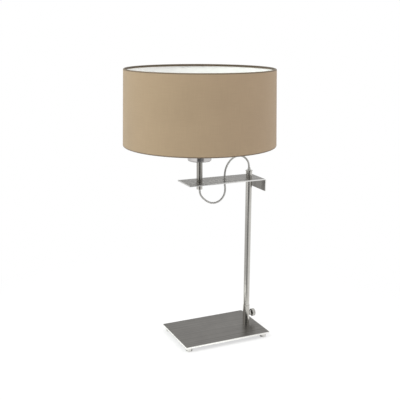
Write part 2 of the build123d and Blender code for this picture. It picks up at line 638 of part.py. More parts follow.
def side_contact():
    """The fixed strip that touches the side of a lamp's screw cap."""
    wall = sqrt((LAMP_CHAMBER_DIAMETER / 2) ** 2 - (STRIP_WIDTH / 2) ** 2) - FREE
    upright = Box(STRIP_THICKNESS, STRIP_WIDTH, SIDE_CONTACT_HEIGHT, align=ENDS_AT)
    foot_strip = Box(CONTACT_FOOT_LENGTH, STRIP_WIDTH, STRIP_THICKNESS, align=ENDS_AT)
    return Pos(wall, 0, CAP_TOP) * (upright + foot_strip)


def holder_parts():
    nut_bottom = HOLDER_BOTTOM + HOLDER_FLOOR
    locknut = hexagon(NUT_FLATS, LOCKNUT_HEIGHT, 0, nut_bottom)
    locknut -= rod(NIPPLE_DIAMETER + 2 * SLIP, LOCKNUT_HEIGHT, 0, nut_bottom)
    screws = [Pos(x, y, INSERT_BOTTOM) * terminal() for x, y in terminal_places()]
    return {
        "holder_cup": holder_cup(),
        "holder_cap": holder_cap(),
        "holder_locknut": locknut,
        "holder_insert": holder_insert(),
        "holder_skirt": holder_skirt(),
        "terminal_screws": Compound(screws),
        "contact_foot": contact_foot(),
        "centre_contact": centre_contact(),
        "side_contact": side_contact(),
    }


LOWER_RADIUS = SHADE_LOWER_DIAMETER / 2
UPPER_RADIUS = SHADE_UPPER_DIAMETER / 2
LOWER_WIRE = (LOWER_RADIUS - WIRE_INSET, LOWER_EDGE + WIRE_INSET)
UPPER_WIRE = (UPPER_RADIUS - WIRE_INSET, UPPER_EDGE - WIRE_INSET)


def wall_radius(z):
    """The radius of the shade's outside at height z."""
    share = (z - LOWER_WIRE[1]) / (UPPER_WIRE[1] - LOWER_WIRE[1])
    return LOWER_RADIUS + (UPPER_RADIUS - LOWER_RADIUS) * share


def wall_band(inset, thickness, z_low, z_high):
    """The profile of one layer of the shade's wall, from z_low to z_high."""
    outer = [(wall_radius(z) - inset, z) for z in (z_low, z_high)]
    inner = [(x - thickness, z) for x, z in reversed(outer)]
    return make_face(Polyline(*(outer + inner), close=True))


def turned(profile):
    """A profile of radius and height, turned about the lampholder's axis."""
    return revolve(Plane.XZ * profile, Axis.Z)


def hub_arm_directions():
    return [HUB_FIRST_ARM + 360 / HUB_ARMS * i for i in range(HUB_ARMS)]


HUB_MIDDLE = CUP_TOP + HUB_THICKNESS / 2


def hub_arm(direction, extra=0.0):
    """One arm of the shade's carrier, from the hub out and down to the lower wire."""
    inner = Vector(CUP_DIAMETER / 2 + FREE, 0, HUB_MIDDLE)
    outer = Vector(LOWER_WIRE[0], 0, LOWER_WIRE[1])
    way = outer - inner
    bar = Cylinder(HUB_ARM_DIAMETER / 2 + extra, way.length, align=UP_FROM)
    placed = Plane(origin=inner, z_dir=way).location * bar
    return Rot(0, 0, direction) * placed


def shade_hub():
    disc = rod(HUB_DIAMETER, HUB_THICKNESS, 0, CUP_TOP)
    return disc - rod(SKIRT_DIAMETER + 2 * FREE, HUB_THICKNESS, 0, CUP_TOP)


def shade_nut():
    bottom = CUP_TOP + HUB_THICKNESS
    ring = rod(SHADE_NUT_DIAMETER, SHADE_NUT_HEIGHT, 0, bottom)
    ring = chamfer(outer_edge(ring, bottom + SHADE_NUT_HEIGHT), SHADE_NUT_BREAK)
    groove = Cylinder(SHADE_NUT_GROOVE, SHADE_NUT_HEIGHT, align=UP_FROM)
    ring -= Pos(0, 0, bottom) * PolarLocations(SHADE_NUT_DIAMETER / 2, SHADE_NUT_RIBS) * groove
    return ring - rod(SKIRT_DIAMETER + 2 * SLIP, SHADE_NUT_HEIGHT, 0, bottom)


def wire_ring(place):
    return Pos(0, 0, place[1]) * Torus(place[0], RING_WIRE / 2)


def shade_cover():
    """The fabric: a wall that is wrapped round both wires and turned in behind the lining."""
    profile = wall_band(0, FABRIC, LOWER_WIRE[1], UPPER_WIRE[1])
    tail_inset = FABRIC + LINING
    for place, inward in ((LOWER_WIRE, 1), (UPPER_WIRE, -1)):
        profile += Pos(*place) * (Circle(WIRE_INSET) - Circle(RING_WIRE / 2 + SLIP))
        near = place[1] + inward * RING_WIRE / 2
        far = place[1] + inward * (WIRE_INSET + HEM_TURN)
        profile += wall_band(tail_inset, FABRIC, min(near, far), max(near, far))
    cover = turned(profile)
    for direction in hub_arm_directions():
        cover -= hub_arm(direction, SLIP)
    return cover


def shade_lining():
    return turned(wall_band(FABRIC, LINING, LOWER_WIRE[1] + WIRE_INSET, UPPER_WIRE[1] - WIRE_INSET))


def shade_parts():
    lower_ring = wire_ring(LOWER_WIRE)
    hub = shade_hub()
    made = {
        "shade_hub": hub,
        "shade_nut": shade_nut(),
        "lower_ring": lower_ring,
        "upper_ring": wire_ring(UPPER_WIRE),
        "shade_cover": shade_cover(),
        "shade_lining": shade_lining(),
    }
    for i, direction in enumerate(hub_arm_directions()):
        made[f"hub_arm_{i + 1}"] = hub_arm(direction) - lower_ring - hub
    return made


def main():
    made = base_parts() | base_fixings() | switch_parts() | post_parts()
    made |= {"gland_body": gland_body(), "gland_collar": gland_collar(), "cord_grip": cord_grip()}
    made |= {"arm_plate": arm_plate(), "flex_grommet": flex_grommet(), "flex": flex()}
    made |= stem_parts() | holder_parts() | shade_parts()
    for name, shape in made.items():
        export_step(shape, f"parts/{name}.step")
    print(len(made), "nodes")


main()
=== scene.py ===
"""The looks of a table lamp: a drum shade on an arm, carried by a slim post over a flat base.

Sizes are in millimetres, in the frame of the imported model: the origin is on the table straight below
the lampholder, +X runs along the arm towards the post, and +Z is up.
"""

from __future__ import annotations

import logging
import math
from dataclasses import dataclass, field
from enum import Enum
from functools import cache
from typing import Iterable, Mapping, Sequence

import bmesh
import bpy
from mathutils import Matrix, Vector

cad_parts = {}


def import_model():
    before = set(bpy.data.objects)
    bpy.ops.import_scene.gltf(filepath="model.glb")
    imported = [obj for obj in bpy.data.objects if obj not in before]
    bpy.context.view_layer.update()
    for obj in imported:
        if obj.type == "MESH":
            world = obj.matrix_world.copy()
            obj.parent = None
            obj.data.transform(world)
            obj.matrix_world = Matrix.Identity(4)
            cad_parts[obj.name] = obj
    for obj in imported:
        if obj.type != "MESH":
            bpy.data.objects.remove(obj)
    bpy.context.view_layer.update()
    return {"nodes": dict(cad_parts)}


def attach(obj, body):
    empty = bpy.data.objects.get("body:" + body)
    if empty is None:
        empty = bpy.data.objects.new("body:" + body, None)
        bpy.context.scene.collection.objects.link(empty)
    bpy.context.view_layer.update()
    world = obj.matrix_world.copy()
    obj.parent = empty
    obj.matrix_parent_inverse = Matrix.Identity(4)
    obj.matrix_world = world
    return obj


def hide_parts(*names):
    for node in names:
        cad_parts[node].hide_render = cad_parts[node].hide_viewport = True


MM = 0.001
MICROMETRE = 1e-6
STAND = "lamp_stand"  # the body that the scene's own pieces ride on
LOG = logging.getLogger("lamp")

COARSE = 12.0  # how many fine lines of a metal go to a coarse streak
SLUB_ALONG = 25.0  # a cloth's thick and thin threads, per metre along them
SLUB_ACROSS = 900.0  # and per metre across them
LIT_POINT = (0.03, 0.0, 0.42)  # what the soft lights face, in metres

Colour = tuple[float, float, float]
Point = tuple[float, float]
Tree = bpy.types.NodeTree
Node = bpy.types.Node
Socket = bpy.types.NodeSocket
Feeds = Mapping[str | int, object]


class Grain(Enum):
    """Which way the fine lines of a metal surface run, as noise scales along X, Y and Z per metre."""

    PLATE = (14.0, 2600.0, 14.0)
    AROUND = (60.0, 60.0, 3200.0)
    KNOB = (2400.0, 90.0, 90.0)


# Materials


def new_material(name: str) -> bpy.types.Material:
    """Makes a material with nodes.

    Args:
        name: The material's name.

    Returns:
        The material, with a Principled BSDF joined to its output.
    """
    material = bpy.data.materials.new(name)
    material.use_nodes = True
    return material


def shader_of(material: bpy.types.Material) -> Node:
    """The Principled BSDF of a material."""
    return material.node_tree.nodes["Principled BSDF"]


def feed(tree: Tree, node: Node, feeds: Feeds) -> None:
    """Gives a node's inputs what they take.

    Args:
        tree: The node's tree.
        node: The node.
        feeds: For each input, by its name or its place, a socket that is joined to it or a value.
    """
    for key, given in feeds.items():
        if isinstance(given, Socket):
            tree.links.new(given, node.inputs[key])
        else:
            node.inputs[key].default_value = given


def add_node(tree: Tree, kind: str, feeds: Feeds | None = None, **values: object) -> Node:
    """Adds a node, sets its properties and feeds its inputs.

    Args:
        tree: The node tree that takes the node.
        kind: The node's type, such as ShaderNodeMix.
        feeds: What the node's inputs take.
        values: Properties of the node, by name.

    Returns:
        The new node.
    """
    node = tree.nodes.new(kind)
    for key, value in values.items():
        setattr(node, key, value)
    feed(tree, node, feeds or {})
    return node


def new_group(name: str, inputs: Sequence[tuple[str, str, object]],
              outputs: Sequence[tuple[str, str]]) -> tuple[Tree, Node, Node]:
    """Starts a shader node group.

    Args:
        name: The group's name.
        inputs: Each input's name, socket type and first value.
        outputs: Each output's name and socket type.

    Returns:
        The group's tree, its input node and its output node.
    """
    tree = bpy.data.node_groups.new(name, "ShaderNodeTree")
    for label, kind, value in inputs:
        socket = tree.interface.new_socket(label, in_out="INPUT", socket_type=kind)
        if value is not None:
            socket.default_value = value
    for label, kind in outputs:
        tree.interface.new_socket(label, in_out="OUTPUT", socket_type=kind)
    return tree, tree.nodes.new("NodeGroupInput"), tree.nodes.new("NodeGroupOutput")


def place_group(tree: Tree, group: Tree, feeds: Feeds) -> Node:
    """Places a shared group in a tree and feeds it."""
    return add_node(tree, "ShaderNodeGroup", feeds, node_tree=group)


def calculated(tree: Tree, operation: str, *terms: Socket | float) -> Socket:
    """Calculates with sockets and numbers.

    Args:
        tree: The tree.
        operation: What is done, as a Math node names it.
        terms: What it is done with.

    Returns:
        The socket with the result.
    """
    return add_node(tree, "ShaderNodeMath", dict(enumerate(terms)), operation=operation).outputs[0]


def stretched(tree: Tree, vector: Socket, scales: Socket | Sequence[float]) -> Socket:
    """A vector times three scales."""
    return add_node(tree, "ShaderNodeVectorMath", {0: vector, 1: scales}, operation="MULTIPLY").outputs[0]


def length_of(tree: Tree, vector: Socket) -> Socket:
    """The length of a vector."""
    return add_node(tree, "ShaderNodeVectorMath", {0: vector}, operation="LENGTH").outputs["Value"]


def scaled(tree: Tree, source: Socket, low: float, high: float) -> Socket:
    """Maps a value between 0 and 1 to a range.

    Args:
        tree: The tree.
        source: The value that is mapped.
        low: What 0 becomes.
        high: What 1 becomes.

    Returns:
        The socket with the mapped value.
    """
    feeds = {"Value": source, "To Min": low, "To Max": high}
    return add_node(tree, "ShaderNodeMapRange", feeds).outputs["Result"]


def faded(tree: Tree, source: Socket, near: float, far: float, low: float = 0.0) -> Socket:
    """Maps a distance to a smooth rise.

    Args:
        tree: The tree.
        source: The distance.
        near: Up to which distance the result is low.
        far: From which distance the result is 1.
        low: The lowest result.

    Returns:
        The socket with the result.
    """
    feeds = {"Value": source, "From Min": near, "From Max": far, "To Min": low}
    return add_node(tree, "ShaderNodeMapRange", feeds, interpolation_type="SMOOTHSTEP").outputs["Result"]


def multiplied(tree: Tree, colour: Socket, by: Socket) -> Socket:
    """A colour times a value."""
    feeds = {"Factor": 1.0, "A": colour, "B": by}
    return add_node(tree, "ShaderNodeMix", feeds, data_type="RGBA", blend_type="MULTIPLY").outputs["Result"]


def bumped(tree: Tree, height: Socket, depth: float) -> Socket:
    """The normal of a surface whose height of 1 stands out by a depth in micrometres."""
    feeds = {"Height": height, "Strength": 1.0, "Distance": depth * MICROMETRE}
    return add_node(tree, "ShaderNodeBump", feeds).outputs["Normal"]


@cache
def grain_group() -> Tree:
    """Fine lines: noise stretched by its three scales, between 0 and 1."""
    inputs = [("Vector", "NodeSocketVector", None), ("Scales", "NodeSocketVector", (1.0, 1.0, 1.0))]
    tree, start, end = new_group("fine_lines", inputs, [("Lines", "NodeSocketFloat")])
    where = stretched(tree, start.outputs["Vector"], start.outputs["Scales"])
    feeds = {"Vector": where, "Scale": 1.0, "Detail": 4.0, "Roughness": 0.65}
    noise = add_node(tree, "ShaderNodeTexNoise", feeds)
    feed(tree, end, {"Lines": noise.outputs["Fac"]})
    return tree


@cache
def mottle_group() -> Tree:
    """A colour that drifts a little over the surface."""
    inputs = [
        ("Vector", "NodeSocketVector", None),
        ("Scale", "NodeSocketFloat", 20.0),
        ("Dark", "NodeSocketColor", (0.5, 0.5, 0.5, 1.0)),
        ("Light", "NodeSocketColor", (0.5, 0.5, 0.5, 1.0)),
    ]
    tree, start, end = new_group("soft_mottle", inputs, [("Colour", "NodeSocketColor")])
    feeds = {"Vector": start.outputs["Vector"], "Scale": start.outputs["Scale"], "Detail": 3.0}
    noise = add_node(tree, "ShaderNodeTexNoise", feeds)
    feeds = {"Value": noise.outputs["Fac"], "From Min": 0.3, "From Max": 0.7}
    spread = add_node(tree, "ShaderNodeMapRange", feeds)
    feeds = {"Factor": spread.outputs["Result"], "A": start.outputs["Dark"], "B": start.outputs["Light"]}
    blend = add_node(tree, "ShaderNodeMix", feeds, data_type="RGBA")
    feed(tree, end, {"Colour": blend.outputs["Result"]})
    return tree


@cache
def weave_group() -> Tree:
    """A plain weave in a UV map that is laid out in metres: a height and a shade, each between 0 and 1."""
    inputs = [("Vector", "NodeSocketVector", None), ("Threads", "NodeSocketFloat", 2000.0)]
    outputs = [("Height", "NodeSocketFloat"), ("Slub", "NodeSocketFloat")]
    tree, start, end = new_group("plain_weave", inputs, outputs)
    split = add_node(tree, "ShaderNodeSeparateXYZ", {0: start.outputs["Vector"]})
    waves = []
    for axis in ("X", "Y"):
        crossings = calculated(tree, "MULTIPLY", split.outputs[axis], start.outputs["Threads"])
        waves.append(calculated(tree, "SINE", calculated(tree, "MULTIPLY", crossings, math.pi)))
    height = calculated(tree, "MULTIPLY_ADD", calculated(tree, "MULTIPLY", *waves), 0.5, 0.5)
    slubs = []
    for scales in ((SLUB_ALONG, SLUB_ACROSS, 1.0), (SLUB_ACROSS, SLUB_ALONG, 1.0)):
        where = stretched(tree, start.outputs["Vector"], scales)
        noise = add_node(tree, "ShaderNodeTexNoise", {"Vector": where, "Scale": 1.0, "Detail": 2.0})
        slubs.append(noise.outputs["Fac"])
    feed(tree, end, {"Height": height, "Slub": calculated(tree, "MULTIPLY", *slubs)})
    return tree


def object_vector(tree: Tree) -> Socket:
    """The Object coordinates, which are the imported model's own frame in metres."""
    return add_node(tree, "ShaderNodeTexCoord").outputs["Object"]


def uv_vector(tree: Tree) -> Socket:
    """The piece's own UV map, laid out in metres."""
    return add_node(tree, "ShaderNodeTexCoord").outputs["UV"]


def tinted(colour: Colour, by: float) -> tuple[float, float, float, float]:
    """A colour made lighter or darker by a factor, with full alpha."""
    return (colour[0] * by, colour[1] * by, colour[2] * by, 1.0)


def grey(level: float) -> tuple[float, float, float, float]:
    """A grey with full alpha."""
    return (level, level, level, 1.0)


def lines_of(tree: Tree, where: Socket, scales: Sequence[float]) -> Socket:
    """Noise with its own scale per metre along each axis, between 0 and 1."""
    return place_group(tree, grain_group(), {"Vector": where, "Scales": scales}).outputs["Lines"]


def mottled(tree: Tree, where: Socket, scale: float, colour: Colour, drift: float) -> Socket:
    """A colour that drifts over the surface by a share of itself.

    Args:
        tree: The material's tree.
        where: The coordinates, in metres.
        scale: How many times it drifts per metre.
        colour: The mean colour.
        drift: The share of it by which the colour goes up and down.

    Returns:
        The socket with the colour.
    """
    dark, light = tinted(colour, 1 - drift), tinted(colour, 1 + drift)
    feeds = {"Vector": where, "Scale": scale, "Dark": dark, "Light": light}
    return place_group(tree, mottle_group(), feeds).outputs["Colour"]


@dataclass(frozen=True)
class Metal:
    """A bare or plated metal with fine lines from its finishing.

    The lines' depth is in micrometres. drift is the share by which the colour varies over the surface,
    and streak the share by which it varies from one coarse line to the next.
    """

    name: str
    colour: Colour
    roughness: float
    grain: Grain = Grain.AROUND
    line_depth: float = 0.6
    roughness_spread: float = 0.06
    drift: float = 0.05
    streak: float = 0.1
    mottle_scale: float = 30.0

    def material(self) -> bpy.types.Material:
        """Builds the metal's material."""
        material = new_material(self.name)
        tree = material.node_tree
        where = object_vector(tree)
        lines = lines_of(tree, where, self.grain.value)
        coarse = lines_of(tree, where, [scale / COARSE for scale in self.grain.value])
        colour = mottled(tree, where, self.mottle_scale, self.colour, self.drift)
        streaks = scaled(tree, coarse, 1 - self.streak, 1 + self.streak)
        low, high = self.roughness - self.roughness_spread, self.roughness + self.roughness_spread
        feed(tree, shader_of(material), {
            "Metallic": 1.0,
            "Base Color": multiplied(tree, colour, streaks),
            "Roughness": scaled(tree, lines, low, high),
            "Normal": bumped(tree, lines, self.line_depth),
        })
        return material


@dataclass(frozen=True)
class Moulding:
    """A moulded plastic, rubber or ceramic with a fine skin.

    The skin's scale is per metre and its depth in micrometres.
    """

    name: str
    colour: Colour
    roughness: float
    skin_scale: float = 1500.0
    skin_depth: float = 15.0
    drift: float = 0.04
    roughness_spread: float = 0.05
    mottle_scale: float = 45.0

    def material(self) -> bpy.types.Material:
        """Builds the moulding's material."""
        material = new_material(self.name)
        tree = material.node_tree
        where = object_vector(tree)
        skin = lines_of(tree, where, (self.skin_scale,) * 3)
        low, high = self.roughness - self.roughness_spread, self.roughness + self.roughness_spread
        feed(tree, shader_of(material), {
            "Base Color": mottled(tree, where, self.mottle_scale, self.colour, self.drift),
            "Roughness": scaled(tree, skin, low, high),
            "Normal": bumped(tree, skin, self.skin_depth),
        })
        return material


@dataclass(frozen=True)
class Cloth:
    """A close plain-woven cloth on a stiff backing.

    threads is the count per metre each way, and their depth is in micrometres. rolled is how dark the
    cloth is where its attribute "rolled" is 1, as a share of its colour: painted shade, on the cloth
    that is turned in round the wires.
    """

    name: str
    colour: Colour
    roughness: float = 0.82
    threads: float = 2200.0
    thread_depth: float = 45.0
    drift: float = 0.035
    slub: float = 0.10
    rolled: float = 0.25
    roughness_spread: float = 0.06
    mottle_scale: float = 9.0
    sheen: float = 0.12
    sheen_roughness: float = 0.5

    def material(self) -> bpy.types.Material:
        """Builds the cloth's material."""
        material = new_material(self.name)
        tree = material.node_tree
        where = uv_vector(tree)
        weave = place_group(tree, weave_group(), {"Vector": where, "Threads": self.threads})
        plain = mottled(tree, where, self.mottle_scale, self.colour, self.drift)
        slubs = scaled(tree, weave.outputs["Slub"], 1 - self.slub, 1 + self.slub * 2)
        # painted shade: the cloth turned in round the wires is darkened by rolled, and the rims a little
        edge = add_node(tree, "ShaderNodeAttribute", attribute_name="rolled")
        shadow = scaled(tree, edge.outputs["Fac"], 1.0, self.rolled)
        low, high = self.roughness - self.roughness_spread, self.roughness + self.roughness_spread
        feed(tree, shader_of(material), {
            "Sheen Weight": self.sheen,
            "Sheen Roughness": self.sheen_roughness,
            "Base Color": multiplied(tree, multiplied(tree, plain, slubs), shadow),
            "Roughness": scaled(tree, weave.outputs["Height"], low, high),
            "Normal": bumped(tree, weave.outputs["Height"], self.thread_depth),
        })
        return material


Finish = Metal | Moulding | Cloth


class Paintbox:
    """Builds each finish's material once and hands it out."""

    def __init__(self) -> None:
        """Starts with no materials."""
        self._made: dict[str, bpy.types.Material] = {}

    def material(self, finish: Finish) -> bpy.types.Material:
        """The material of a finish."""
        if finish.name not in self._made:
            self._made[finish.name] = finish.material()
        return self._made[finish.name]

    def dress(self, thing: bpy.types.Object, finish: Finish) -> None:
        """Gives a finish to every material slot of an object."""
        material = self.material(finish)
        if not thing.material_slots:
            thing.data.materials.append(material)
        for slot in thing.material_slots:
            slot.link = "OBJECT"
            slot.material = material


BRUSHED_PLATE = Metal("brushed_plate_steel", (0.215, 0.206, 0.192), 0.33, Grain.PLATE, line_depth=3.0,
                      roughness_spread=0.09, streak=0.75)
BRUSHED_ARM = Metal("brushed_arm_steel", (0.275, 0.265, 0.247), 0.32, Grain.PLATE, line_depth=3.0,
                    roughness_spread=0.08, streak=0.6)
# painted highlight: near white for the plates' sides and rounded edges, where they mirror bright
# surroundings
EDGE_HIGHLIGHT = Metal("painted_edge_highlight", (0.88, 0.87, 0.85), 0.20, Grain.AROUND, line_depth=0.5,
                 roughness_spread=0.05, drift=0.03)
SATIN_TUBE = Metal("satin_nickel_tube", (0.58, 0.565, 0.53), 0.17, Grain.AROUND, line_depth=0.5,
                   roughness_spread=0.05, drift=0.04)
# painted shade and painted reflection: a darker copy of the tube's satin nickel, for the stem under the drum
# and the dark arm that it mirrors
SHADED_STEM_NICKEL = Metal("satin_nickel_stem_painted_shade", (0.37, 0.357, 0.33), 0.17, Grain.AROUND, line_depth=0.5,
                   roughness_spread=0.05, drift=0.04)
POLISHED_CUP = Metal("polished_nickel_cup", (0.64, 0.62, 0.61), 0.10, Grain.AROUND, line_depth=0.3,
                     roughness_spread=0.03, drift=0.03)
KNOB_NICKEL = Metal("knob_nickel", (0.60, 0.59, 0.56), 0.20, Grain.KNOB, line_depth=0.8,
                    roughness_spread=0.05)
FOOT_SATIN = Metal("foot_satin_metal", (0.70, 0.69, 0.67), 0.32, Grain.AROUND, line_depth=1.0,
                   drift=0.03)
ZINC_STEEL = Metal("zinc_steel", (0.58, 0.59, 0.61), 0.30, Grain.AROUND, line_depth=1.0, drift=0.06)
CONTACT_BRASS = Metal("contact_brass", (0.72, 0.55, 0.26), 0.28, Grain.AROUND, line_depth=1.0,
                      drift=0.06)
RUBBER = Moulding("pad_rubber", (0.035, 0.035, 0.036), 0.75, skin_scale=900.0, skin_depth=40.0)
FLEX_GREY = Moulding("flex_sheath_grey", (0.40, 0.392, 0.378), 0.33, skin_scale=2500.0, skin_depth=3.0)
GRIP_GREY = Moulding("grip_plastic_grey", (0.36, 0.355, 0.34), 0.42, skin_scale=1800.0, skin_depth=10.0)
BLACK_PLASTIC = Moulding("switch_plastic_black", (0.03, 0.03, 0.032), 0.45)
WHITE_PLASTIC = Moulding("holder_plastic_white", (0.78, 0.77, 0.74), 0.42)
CERAMIC = Moulding("contact_block_ceramic", (0.80, 0.78, 0.74), 0.62, skin_scale=700.0, skin_depth=25.0)
WHITE_ENAMEL = Moulding("frame_enamel_white", (0.78, 0.78, 0.76), 0.33, skin_scale=900.0,
                        skin_depth=12.0)
SHADE_CLOTH = Cloth("shade_cloth_taupe", (0.330, 0.242, 0.154))
SHADE_LINER = Moulding("shade_liner_white", (0.79, 0.795, 0.78), 0.55, skin_scale=500.0, skin_depth=18.0,
                       drift=0.02)

NODE_FINISHES: dict[Finish, tuple[str, ...]] = {
    SATIN_TUBE: ("post_tube", "switch_housing", "switch_saddle", "switch_nut", "switch_bush",
                 "stem_stub_nut", "gland_body", "gland_collar"),
    # the stem's darker nickel is painted shade and painted reflection
    SHADED_STEM_NICKEL: ("stem_tube",),
    POLISHED_CUP: ("holder_cup",),
    KNOB_NICKEL: ("switch_knob",),
    FOOT_SATIN: ("foot_front_left", "foot_front_right", "foot_rear_left", "foot_rear_right"),
    RUBBER: ("foot_pad_front_left", "foot_pad_front_right", "foot_pad_rear_left", "foot_pad_rear_right"),
    ZINC_STEEL: ("foot_screws", "base_washer", "base_nut", "base_nipple", "housing_plug", "post_insert",
                 "gland_nipple", "stem_nipple", "holder_locknut", "knob_grub_screw", "switch_shaft"),
    CONTACT_BRASS: ("contact_foot", "centre_contact", "side_contact", "terminal_screws"),
    GRIP_GREY: ("cord_grip", "flex_grommet", "stub_bush", "lead_inlet_bush"),
    BLACK_PLASTIC: ("switch_body", "switch_rotor"),
    WHITE_PLASTIC: ("holder_cap", "holder_skirt", "shade_nut"),
    CERAMIC: ("holder_insert",),
    WHITE_ENAMEL: ("shade_hub", "hub_arm_1", "hub_arm_2", "hub_arm_3", "lower_ring", "upper_ring"),
}


# Mesh helpers

SHARP = math.radians(35)
LARGE_FACE = 1e-3  # square metres
WELD = 1e-6  # metres between points that are one
LEVEL = 0.9  # a face lies level when its normal has more of Z than this
SIDEWAYS = 0.3  # it faces sideways when its normal has more of Y than this
UPRIGHT = 0.1  # it stands upright when its normal has less of Z than this


def turned(profile: Sequence[Point], steps: int, loop: bool = True) -> bmesh.types.BMesh:
    """Turns a profile of radius and height, in millimetres, once about the Z axis.

    Args:
        profile: The profile's points.
        steps: How many steps a full turn has.
        loop: Whether the profile's last point joins its first.

    Returns:
        A closed mesh with its faces pointing outwards.
    """
    shape = bmesh.new()
    points = [shape.verts.new((radius * MM, 0.0, height * MM)) for radius, height in profile]
    ends = points[1:] + points[:1] if loop else points[1:]
    edges = [shape.edges.new(pair) for pair in zip(points, ends)]
    bmesh.ops.spin(shape, geom=points + edges, cent=(0, 0, 0), axis=(0, 0, 1), dvec=(0, 0, 0),
                   angle=2 * math.pi, steps=steps, use_merge=True, use_duplicate=False)
    bmesh.ops.remove_doubles(shape, verts=shape.verts, dist=WELD)
    bmesh.ops.recalc_face_normals(shape, faces=shape.faces)
    return shape


def softened(shape: bmesh.types.BMesh, width: float, segments: int = 2) -> bmesh.types.BMesh:
    """Rounds the sharp edges of a mesh.

    Args:
        shape: The mesh.
        width: The width of the rounding, in millimetres.
        segments: How many faces go round each edge.

    Returns:
        The same mesh.
    """
    sharp = [edge for edge in shape.edges if len(edge.link_faces) == 2 and edge.calc_face_angle(0.0) > SHARP]
    bmesh.ops.bevel(shape, geom=sharp, offset=width * MM, offset_type="OFFSET", segments=segments,
                    profile=0.5, affect="EDGES", clamp_overlap=True, material=-1)
    return shape


def bordered(shape: bmesh.types.BMesh, width: float) -> bmesh.types.BMesh:
    """Gives each large flat face a narrow border, so that its middle is shaded flat.

    Args:
        shape: The mesh.
        width: The border's width, in millimetres.

    Returns:
        The same mesh.
    """
    large = [face for face in shape.faces if face.calc_area() > LARGE_FACE]
    bmesh.ops.inset_individual(shape, faces=large, thickness=width * MM, use_even_offset=True)
    return shape


@dataclass
class Workshop:
    """Turns meshes into pieces that have a finish and ride on a body."""

    paints: Paintbox
    nodes: dict[str, bpy.types.Object]
    made: list[bpy.types.Object] = field(default_factory=list)

    def piece(self, name: str, shape: bmesh.types.BMesh, finish: Finish, instead_of: Sequence[str] = (),
              second: Finish | None = None) -> bpy.types.Object:
        """Makes a piece of a mesh.

        Args:
            name: The piece's name.
            shape: Its mesh, which is freed.
            finish: Its finish.
            instead_of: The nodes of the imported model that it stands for.
            second: The finish of the faces whose material index is 1.

        Returns:
            The piece.
        """
        mesh = bpy.data.meshes.new(name)
        shape.to_mesh(mesh)
        shape.free()
        mesh.polygons.foreach_set("use_smooth", [True] * len(mesh.polygons))
        mesh.set_sharp_from_angle(angle=SHARP)
        thing = bpy.data.objects.new(name, mesh)
        bpy.context.collection.objects.link(thing)
        if second:
            mesh.materials.append(self.paints.material(finish))
            mesh.materials.append(self.paints.material(second))
        self.register(thing, finish, instead_of)
        if second:
            thing.material_slots[1].material = self.paints.material(second)
        return thing

    def register(self, thing: bpy.types.Object, finish: Finish, instead_of: Sequence[str]) -> None:
        """Gives an object its finish, its body and the nodes that it stands for."""
        self.paints.dress(thing, finish)
        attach(thing, STAND)
        if instead_of:
            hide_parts(*instead_of)
        self.made.append(thing)
        LOG.info("%s rides on %s", thing.name, STAND)

    def dress_nodes(self) -> None:
        """Gives every carried-over node its finish."""
        for finish, names in NODE_FINISHES.items():
            for name in names:
                self.paints.dress(self.nodes[name], finish)


# The lamp's own pieces

POST_REACH = 141.0
BASE_TOP = 16.0
ARM_TOP = 421.5
CAP_TOP = 506.0


def raised(outline: Sequence[Vector], by: Vector) -> bmesh.types.BMesh:
    """Makes a closed solid by extruding a flat outline.

    Args:
        outline: The outline's corners, in millimetres.
        by: How far it is extruded, in millimetres.

    Returns:
        The solid, with its faces pointing outwards.
    """
    shape = bmesh.new()
    face = shape.faces.new([shape.verts.new(corner * MM) for corner in outline])
    grown = bmesh.ops.extrude_face_region(shape, geom=[face], use_keep_orig=True)
    moving = [part for part in grown["geom"] if isinstance(part, bmesh.types.BMVert)]
    bmesh.ops.translate(shape, verts=moving, vec=by * MM)
    bmesh.ops.recalc_face_normals(shape, faces=shape.faces)
    return shape


@dataclass
class BasePlate:
    """The flat foot plate, brushed lengthways on top, with a painted highlight on its sides and edges."""

    length: float = 240.0
    width: float = 161.0
    thickness: float = 5.0
    beyond_post: float = 28.0
    corner: float = 1.2
    corner_steps: int = 4
    edge: float = 0.45

    def outline(self) -> list[Vector]:
        """The plate's outline at its underside, with round corners."""
        middle = POST_REACH + self.beyond_post - self.length / 2
        points = []
        for side, (x_sign, y_sign) in enumerate(((1, 1), (-1, 1), (-1, -1), (1, -1))):
            centre_x = middle + x_sign * (self.length / 2 - self.corner)
            centre_y = y_sign * (self.width / 2 - self.corner)
            for step in range(self.corner_steps + 1):
                turn = math.radians(90 * (side + step / self.corner_steps))
                points.append(Vector((centre_x + self.corner * math.cos(turn),
                                      centre_y + self.corner * math.sin(turn), BASE_TOP - self.thickness)))
        return points

    def build(self, shop: Workshop) -> None:
        """Makes the plate."""
        shape = softened(raised(self.outline(), Vector((0, 0, self.thickness))), self.edge)
        bordered(shape, self.edge)
        for face in shape.faces:
            # painted highlight: the sides and rounded edges take the near-white second finish
            face.material_index = int(abs(face.normal.z) < LEVEL)
        plate = shop.piece("foot_plate", shape, BRUSHED_PLATE, instead_of=["base_plate"], second=EDGE_HIGHLIGHT)


